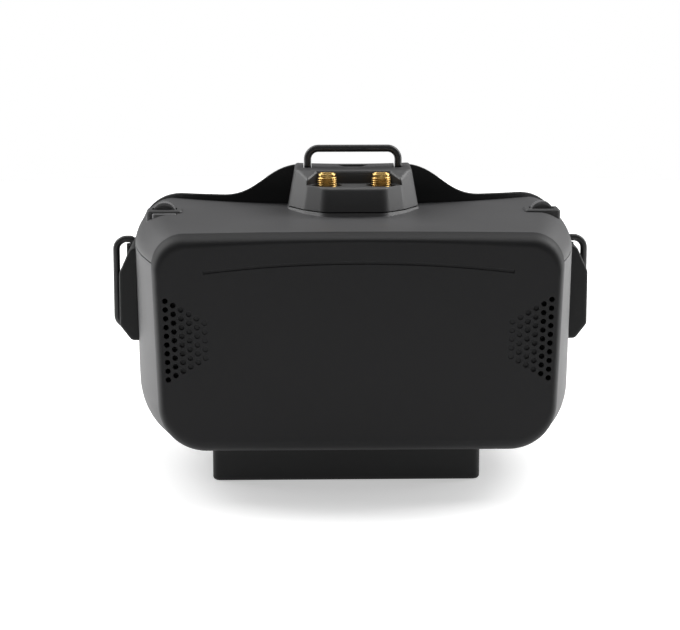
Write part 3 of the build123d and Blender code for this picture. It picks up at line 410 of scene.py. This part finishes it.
# %% Assign
for row in frame["record"]["subparts"]:
    part = nodes[row["node"]].data
    part.materials.clear()
    part.materials.append(finishes[row["material_slot"]])
print("parts with a finish:", sum(1 for n in nodes.values() if n.data.materials))

# %% [markdown]
# ## Making a new piece
# A new piece is a mesh built from points and faces. It is shaded smooth, gets its finish, rides
# on a CAD body, and may stand for a CAD part. Turned parts are rings of points joined by quads,
# and several of them can make one piece.


# %% Piece helpers
def piece(name, points, faces, material, body, stands_for=()):
    """A finished mesh piece that rides on a body."""
    mesh = bpy.data.meshes.new(name)
    mesh.from_pydata([tuple(p) for p in points], [], faces)
    mesh.validate()
    mesh.polygons.foreach_set("use_smooth", [True] * len(mesh.polygons))
    mesh.materials.append(material)
    made = bpy.data.objects.new(name, mesh)
    bpy.context.scene.collection.objects.link(made)
    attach(made, body)
    if stands_for:
        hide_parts(*stands_for)
    print(name, "faces:", len(mesh.polygons))


def rings(count, around, closed_ends=True):
    """Quads that join rings of points, one after another, with the two ends closed."""
    faces = []
    for r in range(count - 1):
        for i in range(around):
            j = (i + 1) % around
            faces.append(
                (r * around + i, r * around + j, (r + 1) * around + j, (r + 1) * around + i)
            )
    if closed_ends:
        faces.append(tuple(reversed(range(around))))
        faces.append(tuple(range((count - 1) * around, count * around)))
    return faces


def joined(meshes):
    """One list of points and one of faces from several pairs of them."""
    points, faces = [], []
    for more_points, more_faces in meshes:
        shift = len(points)
        points += more_points
        faces += [tuple(i + shift for i in face) for face in more_faces]
    return points, faces


# %% [markdown]
# ## Antenna sockets
# Each socket is turned from brass bar and its 1/4-36 thread is rolled or cut: 36 turns to the
# inch, so one turn is 25.4/36 mm. CAD has only plain cylinders. A thread could be a screw
# modifier or a bump; here it is real geometry, because its bright crests are the most
# eye-catching thing on the goggles. Rings of points climb the barrel, and the radius at each
# point depends on how far it is along the helix. The tip is a plain collar with four slots.

# %% Thread geometry
PITCH = 25.4 / 36 * MM
CREST = 3.175 * MM
ROOT = CREST - 0.42 * MM
FLANGE = 3.9 * MM
FLANGE_HEIGHT = 1.5 * MM
TIP, SLOT_BOTTOM = 2.80 * MM, 2.52 * MM
TIP_HEIGHT = 1.2 * MM
BORE, LOWER_BORE = 2.28 * MM, 2.05 * MM
BEVEL = 0.1 * MM
AROUND = 64
ROWS_PER_TURN = 8
socket_low, socket_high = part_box("sma_connector_left")
THREAD_TOP = socket_high.z - TIP_HEIGHT
THREAD_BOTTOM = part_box("sma_nuts")[1].z


def thread_radius(z, angle):
    """Radius of the thread's surface, a blunt V that fades out at the top."""
    turn = (z / PITCH - angle / (2 * pi)) % 1
    tooth = max(0.0, min(1.0, 1.5 - abs(4 * turn - 2) * 0.95))
    fade = max(0.0, min(1.0, (THREAD_TOP - z) / (0.15 * PITCH)))
    return ROOT + (CREST - ROOT) * tooth * fade


def socket_points(x, y):
    """Rings of one socket, from the flange up over the thread, round the tip and into the bore."""
    found = []

    def ring(z, radius):
        for i in range(AROUND):
            angle = 2 * pi * i / AROUND
            r = radius(z, angle) if callable(radius) else radius
            found.append(Vector((x + r * cos(angle), y + r * sin(angle), z)))

    def collar(z, angle):
        """The tip's radius, cut in by four narrow key slots."""
        slot_place = abs((angle / (pi / 2) + 0.5) % 1 - 0.5)
        return TIP if slot_place > 0.04 else SLOT_BOTTOM

    ring(socket_low.z, FLANGE - BEVEL)
    ring(socket_low.z + BEVEL, FLANGE)
    ring(socket_low.z + FLANGE_HEIGHT - BEVEL, FLANGE)
    ring(socket_low.z + FLANGE_HEIGHT, ROOT)
    ring(THREAD_BOTTOM, ROOT)
    steps = int((THREAD_TOP - THREAD_BOTTOM) / PITCH * ROWS_PER_TURN)
    for s in range(1, steps + 1):
        ring(THREAD_BOTTOM + (THREAD_TOP - THREAD_BOTTOM) * s / steps, thread_radius)
    ring(THREAD_TOP + 0.05 * MM, collar)
    ring(socket_high.z - 0.18 * MM, collar)
    ring(socket_high.z - 0.02 * MM, TIP - 0.18 * MM)
    ring(socket_high.z - 0.02 * MM, BORE + 0.08 * MM)
    ring(socket_high.z - 0.12 * MM, BORE)
    ring(socket_high.z - 2.2 * MM, BORE)
    ring(socket_high.z - 2.2 * MM, LOWER_BORE)
    ring(socket_high.z - 7.6 * MM, LOWER_BORE)
    return found


for name in ("left", "right"):
    low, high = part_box(f"sma_connector_{name}")
    points = socket_points((low.x + high.x) / 2, (low.y + high.y) / 2)
    piece(
        f"antenna_socket_{name}",
        points,
        rings(len(points) // AROUND, AROUND),
        finishes["gold_plating"],
        "casing",
        [f"sma_connector_{name}"],
    )

# %% [markdown]
# ## Socket screws under the connector box
# Four screws hold the plate under the box. CAD has plain discs for their heads. Here each head
# is turned with a rounded rim and has a six-sided socket sunk into it for the key.

# %% Screws
HEAD_SIDES = 48
KEY_SIDES = 6
HEAD, HEAD_HEIGHT = 1.95, 1.0 * MM
SHANK = 0.88


def screw_points(x, y, low, high):
    """One screw, head down: rings from the socket's floor, round the head and up the shank."""
    found = []

    def ring(z, radius, sides=0):
        """A ring of this radius in mm, round or with flat sides."""
        for i in range(HEAD_SIDES):
            angle = 2 * pi * i / HEAD_SIDES
            r = radius
            if sides:
                corner = (angle % (2 * pi / sides)) - pi / sides
                r = radius * cos(pi / sides) / cos(corner)
            found.append(Vector((x + r * MM * cos(angle), y + r * MM * sin(angle), z)))

    ring(low + 0.75 * MM, 0.35, KEY_SIDES)
    ring(low + 0.65 * MM, 1.05, KEY_SIDES)
    ring(low + 0.05 * MM, 1.08, KEY_SIDES)
    ring(low, 1.14)
    ring(low, 1.7)
    ring(low + 0.08 * MM, 1.85)
    ring(low + 0.25 * MM, HEAD)
    ring(low + HEAD_HEIGHT, HEAD)
    ring(low + HEAD_HEIGHT, SHANK)
    ring(high, SHANK)
    return found


screw_low, screw_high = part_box("io_cover_screws")
reach = HEAD * MM
screws = []
for x in (screw_low.x + reach, screw_high.x - reach):
    for y in (screw_low.y + reach, screw_high.y - reach):
        points = screw_points(x, y, screw_low.z, screw_high.z)
        screws.append((points, rings(len(points) // HEAD_SIDES, HEAD_SIDES)))
points, faces = joined(screws)
piece(
    "base_screws",
    points,
    faces,
    finishes["screw_steel"],
    "casing",
    ["io_cover_screws"],
)

# %% [markdown]
# ## The face cushion
# The cushion is a curved foam ring with a gap for the nose. CAD keeps a plain solid of its size
# for collision. Foam could be sculpted by hand, but cloth simulation gives the crowned faces
# and soft corners of a real stuffed piece: the solid is remeshed into even quads, a little gas
# pressure swells its skin for twenty frames, and no point may travel further than a set cap.
# Afterwards the side that rests on the frame is pressed flat again.

# %% Cushion from pressure
VOXEL = 2.6 * MM
MOST_TRAVEL = 1.7 * MM
SHRINK = 0.9 * MM
SWELL_FRAMES = 20
PRESSURE = 4.0
scene = bpy.context.scene
cushion = bpy.data.objects.new("face_pad", nodes["face_cushion"].data.copy())
scene.collection.objects.link(cushion)


def apply_modifiers(obj):
    """Turns the evaluated shape into the object's own mesh."""
    shape = bpy.data.meshes.new_from_object(
        obj.evaluated_get(bpy.context.evaluated_depsgraph_get())
    )
    obj.modifiers.clear()
    obj.data = shape


weld = cushion.modifiers.new("weld", "WELD")
weld.merge_threshold = 0.01 * MM
remesh = cushion.modifiers.new("voxels", "REMESH")
remesh.mode = "VOXEL"
remesh.voxel_size = VOXEL
apply_modifiers(cushion)
for v in cushion.data.vertices:
    v.co -= v.normal * SHRINK
relax = cushion.modifiers.new("relax", "SMOOTH")
relax.factor = 0.5
relax.iterations = 6
apply_modifiers(cushion)
rest_points = [v.co.copy() for v in cushion.data.vertices]
print("cushion points:", len(rest_points))

# %% Swell, cap and press flat
cloth = cushion.modifiers.new("cloth", "CLOTH")
cloth.settings.use_pressure = True
cloth.settings.uniform_pressure_force = PRESSURE
cloth.settings.effector_weights.gravity = 0.0
cloth.settings.quality = 5
cloth.point_cache.frame_start = 1
cloth.point_cache.frame_end = SWELL_FRAMES
for step in range(1, SWELL_FRAMES + 1):
    scene.frame_set(step)
apply_modifiers(cushion)
scene.frame_set(1)

# The frame that the cushion rests on is part of an upright cylinder.
PLATE_AXIS_Y = 125 * MM
PLATE_SIDE = 110.2 * MM
for v, was in zip(cushion.data.vertices, rest_points):
    travel = v.co - was
    if travel.length > MOST_TRAVEL:
        v.co = was + travel.normalized() * MOST_TRAVEL
    reach = hypot(v.co.x, v.co.y - PLATE_AXIS_Y)
    if reach > PLATE_SIDE:
        v.co.x *= PLATE_SIDE / reach
        v.co.y = PLATE_AXIS_Y + (v.co.y - PLATE_AXIS_Y) * PLATE_SIDE / reach
finer = cushion.modifiers.new("finer", "SUBSURF")
finer.levels = finer.render_levels = 1
apply_modifiers(cushion)
cushion.data.polygons.foreach_set("use_smooth", [True] * len(cushion.data.polygons))
cushion.data.materials.clear()
cushion.data.materials.append(knit)
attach(cushion, "casing")
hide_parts("face_cushion")

# %% [markdown]
# ## Piping and stitches
# The cover's face panel is sewn to its side strip, and the seam is hidden by a thin piping.
# A tube pressed half into the cushion follows the panel's edge. Its path is felt out on the
# finished cushion: rays from the wearer's side find where the padding begins and ends along
# each direction from the middle of the window, so the seam lies on the real surface.

# %% Feel for the edges of the face panel
SEARCH = [n * 0.5 * MM for n in range(40, 200)]
ANGLES = [radians(n * 1.5) for n in range(-109, 110)]
LEAST_WIDTH = 8 * MM
SEAM_PASSES = 4  # rounds of smoothing along the seam
middle = Vector((0, 0, 48 * MM))
touch = BVHTree.FromPolygons(
    [v.co for v in cushion.data.vertices], [p.vertices[:] for p in cushion.data.polygons]
)


def on_pad(x, z):
    """Where a ray from the wearer's side meets the cushion, or None."""
    return touch.ray_cast(Vector((x, 0.2, z)), Vector((0, -1, 0)))[0]


def panel_span(angle):
    """Nearest and furthest distance from the middle at which the cushion is met."""
    met = [d for d in SEARCH if on_pad(d * sin(angle), middle.z + d * cos(angle))]
    return (met[0], met[-1]) if met else None


spans = [(a, panel_span(a)) for a in ANGLES]
spans = [(a, s) for a, s in spans if s and s[1] - s[0] > LEAST_WIDTH]
print("directions that meet the cushion:", len(spans))


def even(values, reach=3):
    """Running mean, which takes out the half-millimetre steps of the search."""
    padded = [values[0]] * reach + values + [values[-1]] * reach
    return [sum(padded[i : i + 2 * reach + 1]) / (2 * reach + 1) for i in range(len(values))]


def seam_path(inset):
    """Closed path on the cushion, this far inside the face panel's edges."""
    outer = even([s[1] - inset for _, s in spans])
    inner = even([s[0] + inset for _, s in spans])
    out = [(d * sin(a), middle.z + d * cos(a)) for (a, _), d in zip(spans, outer)]
    back = [(d * sin(a), middle.z + d * cos(a)) for (a, _), d in zip(spans, inner)]
    smooth = out + back[::-1]
    for _ in range(SEAM_PASSES):
        smooth = [
            tuple((a + 2 * b + c) / 4 for a, b, c in zip(before, here, after))
            for before, here, after in zip(smooth[-1:] + smooth, smooth, smooth[1:] + smooth[:1])
        ]
    found = []
    for x, z in smooth:
        depth = found[-1].y if found else 0.0
        found.append(on_pad(x, z) or touch.find_nearest(Vector((x, depth, z)))[0])
    return found


# %% Evenly spaced points and tubes
def spaced(path, gap):
    """Points a fixed distance apart along a closed path."""
    found, left = [], 0.0
    for a, b in zip(path, path[1:] + path[:1]):
        length = (b - a).length
        while left <= length and length > 0:
            found.append(a.lerp(b, left / length))
            left += gap
        left -= length
    return found


def tube(path, radius, sides=10, closed=True):
    """Points and faces of a round tube along a path; radius may be a list, one for each point."""
    points = []
    count = len(path)
    for i, p in enumerate(path):
        ahead = path[(i + 1) % count] if closed or i < count - 1 else p
        behind = path[i - 1] if closed or i > 0 else p
        along = (ahead - behind).normalized()
        across = along.cross(Vector((0, 1, 0))).normalized()
        up = across.cross(along)
        r = radius[i] if isinstance(radius, list) else radius
        for s in range(sides):
            angle = 2 * pi * s / sides
            points.append(p + across * (r * cos(angle)) + up * (r * sin(angle)))
    faces = rings(count, sides, closed_ends=not closed)
    if closed:
        last = (count - 1) * sides
        faces += [(last + s, last + (s + 1) % sides, (s + 1) % sides, s) for s in range(sides)]
    return points, faces


PIPING_INSET = 2.2 * MM
PIPING_STEP = 1.5 * MM
PIPING = 0.75 * MM
points, faces = tube(spaced(seam_path(PIPING_INSET), PIPING_STEP), PIPING)
piece("face_pad_piping", points, faces, piping_finish, "casing")

# %% Stitches beside the piping
STITCH_INSET = 4.4 * MM
STITCH_GAP = 2.6 * MM
STITCH_LENGTH = 1.9 * MM
STITCH_SHARES = (0.0, 0.12, 0.5, 0.88, 1.0)
STITCH_SINKS = (0.25, 0.08, 0.0, 0.08, 0.25)
STITCH_RADII = [r * MM for r in (0.08, 0.2, 0.24, 0.2, 0.08)]
STITCH_SIDES = 8
stitch_path = spaced(seam_path(STITCH_INSET), STITCH_GAP)
stitches = []
for a, b in zip(stitch_path, stitch_path[1:] + stitch_path[:1]):
    along = (b - a).normalized() * STITCH_LENGTH
    run = [a + along * share for share in STITCH_SHARES]
    for p, sink in zip(run, STITCH_SINKS):
        p.y -= sink * MM
    stitches.append(tube(run, STITCH_RADII, STITCH_SIDES, closed=False))
points, faces = joined(stitches)
piece("face_pad_stitches", points, faces, thread_finish, "casing")
print("stitches:", len(stitch_path))

# %% [markdown]
# ## Studio
# The goggles stand on pale paper. A soft light hangs above and behind, two more shine down from
# the upper left and right, and two upright strips stand at the sides and slightly behind, which
# is how a dark product gets bright edges while its front stays dark. A weak fill at the front
# keeps detail in the black cover. The paper glows a little, as on a table lit from below, so
# that it stays white all round.

# %% Floor
FLOOR_RADIUS = 0.8
PAPER_GLOW = 0.45
floor_mesh = bpy.data.meshes.new("floor")
edit = bmesh.new()
bmesh.ops.create_circle(edit, cap_ends=True, segments=96, radius=FLOOR_RADIUS)
edit.to_mesh(floor_mesh)
edit.free()
floor = bpy.data.objects.new("floor", floor_mesh)
scene.collection.objects.link(floor)
paper, tree, shader, place = start("matte_paper")
fibres = add(tree, "TexNoise", {"Vector": place, "Scale": per_mm(1.5), "Detail": 3.0})
paper_tone = add(
    tree,
    "Mix",
    {FACTOR: fibres.outputs["Fac"], FIRST: linear("#F1F1F1"), SECOND: linear("#F5F5F5")},
    data_type="RGBA",
)
tree.links.new(paper_tone.outputs[MIXED], shader.inputs["Base Color"])
shader.inputs["Roughness"].default_value = 0.9
shader.inputs["Specular IOR Level"].default_value = 0.1
shader.inputs["Emission Color"].default_value = (1, 1, 1, 1)
shader.inputs["Emission Strength"].default_value = PAPER_GLOW
floor_mesh.materials.append(paper)
floor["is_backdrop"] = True

# %% Sky and lights
ROOM_LIGHT = 0.16
AIM = Vector((0, 0, 0.05))
world = bpy.data.worlds.new("studio")
scene.world = world
world.use_nodes = True
tree = world.node_tree
tree.nodes.clear()
seen = add(tree, "LightPath").outputs["Is Camera Ray"]
room = add(tree, "Background", {"Color": (1, 1, 1, 1), "Strength": ROOM_LIGHT})
paper_wall = add(tree, "Background", {"Color": (1, 1, 1, 1), "Strength": 1.0})
sky = add(
    tree,
    "MixShader",
    {0: seen, 1: room.outputs["Background"], 2: paper_wall.outputs["Background"]},
)
add(tree, "OutputWorld", {"Surface": sky.outputs["Shader"]})


def softbox(name, place, width, height, watts):
    """A rectangular soft light that points at the goggles."""
    data = bpy.data.lights.new(name, "AREA")
    data.shape = "RECTANGLE"
    data.size, data.size_y = width, height
    data.energy = watts
    lamp = bpy.data.objects.new(name, data)
    lamp.location = place
    lamp.rotation_euler = (AIM - Vector(place)).to_track_quat("-Z", "Y").to_euler()
    lamp.visible_camera = False
    scene.collection.objects.link(lamp)


softbox("top_light", (0.0, 0.35, 1.1), 1.0, 0.7, 5)
softbox("upper_left", (-0.70, 0.45, 0.85), 0.6, 0.6, 6)
softbox("upper_right", (0.70, 0.40, 0.85), 0.6, 0.6, 7)
softbox("left_strip", (-0.75, 0.36, 0.28), 0.35, 0.8, 4)
softbox("right_strip", (0.75, 0.30, 0.28), 0.35, 0.8, 5)
softbox("front_fill", (0.0, -1.3, 0.9), 1.2, 0.6, 1)

# %% Camera
TARGET = Vector((-4.64, -5.0, 49.34)) * MM
DISTANCE = 0.7
AZIMUTH = radians(-1.5)
ELEVATION = radians(10.5)
FOCAL_LENGTH = 112.288  # a short telephoto lens, which draws a product without distortion
SENSOR = 36.0
camera_data = bpy.data.cameras.new("camera")
camera_data.sensor_width = SENSOR
camera_data.lens = FOCAL_LENGTH
camera = bpy.data.objects.new("camera", camera_data)
back = Vector(
    (sin(AZIMUTH) * cos(ELEVATION), -cos(AZIMUTH) * cos(ELEVATION), sin(ELEVATION))
)
camera.location = TARGET + back * DISTANCE
camera.rotation_euler = (-back).to_track_quat("-Z", "Y").to_euler()
scene.collection.objects.link(camera)
scene.camera = camera
scene.view_settings.view_transform = "Standard"
print("lens in mm:", round(camera_data.lens, 1))

low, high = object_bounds()
